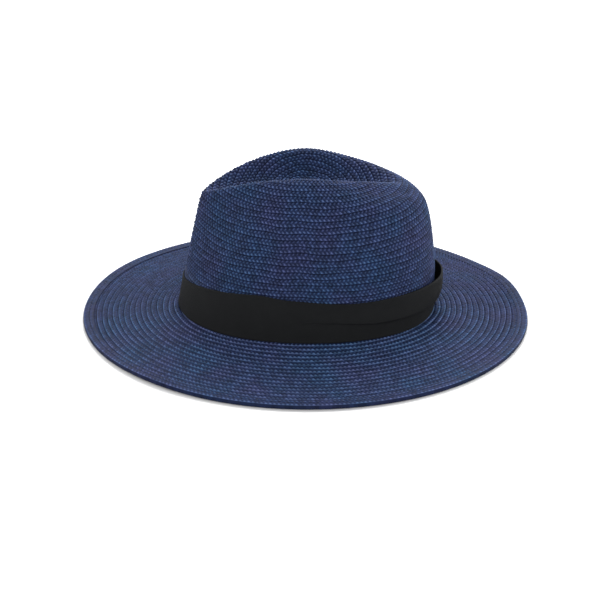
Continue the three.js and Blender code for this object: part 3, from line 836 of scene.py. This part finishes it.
def add_band(material):
    columns = 720
    cloth_thickness = BAND_THICKNESS - 0.2      # the rest is room for the slack
    theta = math.radians(KEEPER_AT) + FULL_TURN * np.arange(columns) / columns
    levels = strip_levels(BAND_HEIGHT, 44, 1.3)
    stretch = (band_top(theta)[:, None] - STRIP_FOOT) / (BAND_HEIGHT - STRIP_FOOT)
    heights = STRIP_FOOT + (levels - STRIP_FOOT) * stretch
    inner = band_inner_off(theta, heights)
    slack = sum(size * np.sin(waves * theta[:, None] + lean * heights) for size, waves, lean in BAND_SLACK)
    outer = inner + cloth_thickness + slack + band_fold(theta, heights) + selvedge(levels, BAND_HEIGHT)
    points = strip_outline(theta, heights, outer, inner)
    faces = loop_faces(columns, 2 * len(levels))
    cloth = cloth_places(theta, heights)
    band = add_mesh("hat_band_ribbon", points.reshape(-1, 3), faces, material, "ribbon", cloth=cloth)
    return band


def add_patch(name, material, slot, at, width, heights, off, thickness, columns=24):
    """A short piece of cloth on the crown's wall, its edges pressed thin, on top of the piece under it."""
    half = width / 2 / base_radius(np.array(math.radians(at)))
    part = np.linspace(-1, 1, columns)
    theta = math.radians(at) + half * part
    low, high = heights[-1], heights[0]
    from_ends = np.minimum(heights - low, high - heights) / (high - low)
    from_edge = np.minimum(1 - np.abs(part)[:, None], from_ends)
    full = smooth(from_edge, -0.02, 0.06)
    inner = off(theta, heights)
    outer = inner + thickness * (0.45 + 0.55 * full)
    points = strip_outline(theta, heights, outer, inner)
    cloth = cloth_places(theta, heights, math.radians(at))
    faces = loop_faces(columns, 2 * len(heights), closed_round=False)
    patch = add_mesh(name, points.reshape(-1, 3), faces, material, slot, cloth=cloth)
    return patch


def keeper_off(theta, heights):
    return band_inner_off(theta, heights) + BAND_THICKNESS + 1.5 * GAP


def patch_off(theta, heights):
    """Where the tape and the label lie, on the sweatband's inner face."""
    return np.full((len(theta), len(heights)), LINING_OFF - GAP - PATCH_THICKNESS - 0.2)


def add_sweatband(material):
    columns = 540
    theta = FULL_TURN * np.arange(columns) / columns
    heights = strip_levels(SWEAT_HEIGHT, 20, 1.2)
    roll_height, roll_thickness = 3.4, 0.35
    rolled = np.where(heights > SWEAT_HEIGHT - roll_height, roll_thickness, 0)
    outer = np.full((columns, len(heights)), -BRAID - 2 * GAP)
    ease = 0.12 * np.sin(9 * theta[:, None] + 0.1 * heights)
    inner = outer - 0.8 * SWEAT_THICKNESS - rolled + ease
    points = strip_outline(theta, heights, outer, inner)
    faces = loop_faces(columns, 2 * len(heights))
    cloth = cloth_places(theta, heights)
    points = points.reshape(-1, 3)
    band = add_mesh("sweatband_lining", points, faces, material, "sweatband_cloth", cloth=cloth)
    return band


# ---- Stitches ----
def stitch_points(start, end, radius):
    """A short twisted thread that dives down at both ends: its points, its sides and its two caps."""
    rounds, steps, bow = 8, 7, 0.25
    length = np.linalg.norm(end - start)
    forward = (end - start) / length
    side = np.cross(forward, [0.0, 0.0, 1.0])
    side = side / max(np.linalg.norm(side), 1e-9)
    up = np.cross(side, forward)
    points, faces = [], []
    for k in range(steps + 1):
        part = k / steps
        thick = radius * math.sqrt(max(0.02, 1 - (2 * part - 1) ** 4))
        centre = start + forward * length * part + up * bow * radius * (math.sin(math.pi * part) - 1)
        for j in range(rounds):
            turn = FULL_TURN * j / rounds
            spread = thick * (1 + 0.12 * math.cos(2 * turn + 4 * part * math.pi))
            points.append(centre + spread * (math.cos(turn) * side + math.sin(turn) * up))
    for k in range(steps):
        for j in range(rounds):
            here, beside = k * rounds + j, k * rounds + (j + 1) % rounds
            faces.append([here, beside, beside + rounds, here + rounds])
    first = list(range(rounds))[::-1]
    last = [steps * rounds + j for j in range(rounds)]
    return np.array(points), faces, [first, last]


def add_stitches(name, ends, radius, material):
    """Many stitches as one piece, each from one end to the other."""
    points, quads, caps, base = [], [], [], 0
    for start, end in ends:
        made, faces, closing = stitch_points(start, end, radius)
        points.append(made)
        quads += [[base + v for v in face] for face in faces]
        caps += [[base + v for v in face] for face in closing]
        base += len(made)
    mesh = bpy.data.meshes.new(name)
    mesh.from_pydata(np.concatenate(points) * MM, [], quads + caps)
    return add_object(name, mesh, material)


def rim_stitch_ends():
    """Small stitches through the rim row, along the groove beside its fold."""
    count = 190
    length = 2.4 / count
    for k in range(count):
        theta = np.array([0.0, length]) + FULL_TURN * k / count
        points = brim_face(theta, np.full((2, 1), brim_share(0.6 * RIM_ROW_WIDTH)))[:, 0]
        points[:, 2] += 2 * GAP + RIM_LIP - 0.3
        yield points[0], points[1]


def on_wall(degrees, height, off):
    """A point at a distance off the crown's outer face."""
    theta = np.array([math.radians(degrees)])
    share = share_at_height(theta, np.array([height]))
    point, normal = with_normals(crown_face, theta, share)
    return point[0, 0] + off * normal[0, 0]


def sweat_stitch_ends():
    """Small stitches round the sweatband, near its lower edge."""
    count = 96
    height = 3
    length = 2.1
    off = LINING_OFF - THREAD_RADIUS - 0.1
    for k in range(count):
        start = 360 * k / count
        yield on_wall(start, height, off), on_wall(start + length, height, off)


def add_seams(thread):
    rim = add_stitches("rim_stitches", rim_stitch_ends(), 0.26, thread)
    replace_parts(rim, "rim_thread")
    sweat = add_stitches("sweatband_stitches", sweat_stitch_ends(), 0.3, thread)
    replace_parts(sweat, "sweatband_thread")


def add_keeper_tacks(thread):
    """A small cross of two stitches at each corner of the keeper."""
    reach = 0.7
    corners = [(side, height) for height in (4, 29) for side in (-1, 1)]
    for k, (side, height) in enumerate(corners):
        at = KEEPER_AT + 4 * side
        surface = keeper_off(np.array([math.radians(at)]), np.array([height]))[0, 0] + KEEPER_THICKNESS
        off = float(surface) + 0.5 * THREAD_RADIUS
        ends = []
        for lift in (0.4, -0.4):
            ends.append((on_wall(at - reach, height + lift, off), on_wall(at + reach, height - lift, off)))
        tack = add_stitches(f"keeper_stitch_{k + 1}", ends, 0.28, thread)
        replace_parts(tack, f"keeper_tack_{k + 1}")


def add_label_stitches(thread):
    """Three upright stitches at each end of the label."""
    reach = math.degrees((LABEL_WIDTH / 2 - LABEL_STITCH_IN) / base_radius(np.array(math.radians(LABEL_AT))))
    off = LINING_OFF - 2 * GAP - PATCH_THICKNESS - 0.2
    length = 2.4
    for k, side in enumerate((-1, 1)):
        at = LABEL_AT + side * reach
        ends = [(on_wall(at, low, off), on_wall(at, low + length, off)) for low in (11, 15, 19)]
        stitch = add_stitches(f"label_thread_{k + 1}", ends, 0.28, thread)
        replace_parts(stitch, f"label_stitch_{k + 1}")


# ---- The end of the braid ----
def add_tail(straw):
    """The end of the braid, tapering to its tip, turned flat under the brim."""
    columns, lines = 60, 11
    mm_in_degree = 3.0
    tip_width, full_width = 1.2, 5.7
    thickness, relief = 0.35, 0.25
    upper_face = BRAID + 1.6 * GAP      # below the brim's upper face
    theta = np.radians(TAIL_AT - TAIL_TURN / 2 + TAIL_TURN * np.linspace(0, 1, columns))
    width = np.linspace(tip_width, full_width, columns)[:, None]
    part = np.linspace(0, 1, lines)
    share = brim_share(TAIL_FROM_RIM + width * part)
    flat = brim_face(theta, share)
    plaits = np.degrees(theta - theta[0])[:, None] * mm_in_degree / PLAIT
    crest, cell = strands(np.broadcast_to(part, share.shape), np.broadcast_to(plaits, share.shape))
    upper, lower = flat.copy(), flat.copy()
    upper[..., 2] -= upper_face
    lower[..., 2] -= upper_face + thickness + relief * crest
    points = np.concatenate([upper[:, ::-1], lower], axis=1)
    # Painted light: a flat middle tint on the upper face, painted highlights on the strand crests of the
    # lower face.
    rise = np.concatenate([0 * crest + 0.4, 0.4 + 0.5 * crest], axis=1)
    tone = speckle(np.concatenate([cell, cell], axis=1))
    faces = loop_faces(columns, 2 * lines, closed_round=False)
    tail = add_mesh("braid_tail_end", points.reshape(-1, 3), faces, straw, slot="straw_braid",
                    rise=rise.ravel(), tone=tone.ravel())
    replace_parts(tail, "braid_tail")


def add_tail_tack(thread):
    """Two stitches that hold the tail."""
    theta = np.array([math.radians(TAIL_AT + 2)])
    ends = []
    for across in ((3.4, 2.4), (2.0, 1.0)):
        pair = [brim_face(theta, np.array([[brim_share(TAIL_FROM_RIM + a)]]))[0, 0] for a in across]
        ends.append([point - np.array([0, 0, BRAID + 2 * GAP + 0.75]) for point in pair])
    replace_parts(add_stitches("tail_stitch", ends, 0.26, thread), "braid_tail_tack")


# ---- The whole hat ----
def add_ribbon_pieces(ribbon):
    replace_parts(add_band(ribbon), "hat_band")
    heights = np.linspace(BAND_HEIGHT + 1, STRIP_FOOT, 24)
    keeper = add_patch("band_keeper_ribbon", ribbon, "ribbon", KEEPER_AT, KEEPER_WIDTH, heights,
                       keeper_off, KEEPER_THICKNESS)
    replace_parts(keeper, "band_keeper")


def add_lining_pieces(sweat_cloth, label_cloth):
    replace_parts(add_sweatband(sweat_cloth), "sweatband")
    tape = add_patch("seam_tape_cloth", sweat_cloth, "sweatband_cloth", 0, TAPE_WIDTH,
                     np.linspace(*TAPE_ENDS, 18), patch_off, PATCH_THICKNESS)
    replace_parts(tape, "sweatband_seam_tape")
    label = add_patch("label_cloth_tab", label_cloth, "label_cloth", LABEL_AT, LABEL_WIDTH,
                      np.linspace(*LABEL_ENDS, 14), patch_off, PATCH_THICKNESS,
                      columns=32)
    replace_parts(label, "label")


def add_hat():
    straw = straw_material("navy_paper_straw", *STRAW)
    ribbon = woven_material("black_ribbon", *RIBBON, pitch=0.0007)
    sweat_cloth = woven_material("dark_sweatband_cloth", *SWEATBAND, pitch=0.0006)
    label_cloth = woven_material("plain_label_cloth", *LABEL, pitch=0.0005)
    thread = thread_material("navy_thread", *NAVY_THREAD)
    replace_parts(add_crown(straw), "crown_tip", "crown_wall")
    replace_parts(add_brim(straw), "brim")
    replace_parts(add_rim_row(straw), "rim_row")
    add_ribbon_pieces(ribbon)
    add_lining_pieces(sweat_cloth, label_cloth)
    add_seams(thread)
    add_keeper_tacks(thread_material("black_thread_spun", *BLACK_THREAD))
    add_label_stitches(thread)
    add_tail(straw)
    add_tail_tack(thread)


def dress_wire():
    """Better materials for the wire and its joiner, which keep the design's shapes."""
    steel = metal_material("spring_steel", *STEEL)
    brass = metal_material("joiner_brass", *BRASS)
    for node, metal in (("rim_wire", steel), ("wire_joiner", brass)):
        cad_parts[node].data.materials.clear()
        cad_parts[node].data.materials.append(metal)


def write_sizes():
    """The bounding boxes before and after the hat's looks were added, made into lists of numbers that are
    not kept.
    """
    for name, box in (("cad", cad_box), ("visual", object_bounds())):
        [[float(value) for value in corner] for corner in box]


add_camera()
add_studio()
add_floor()
add_hat()
dress_wire()
write_sizes()
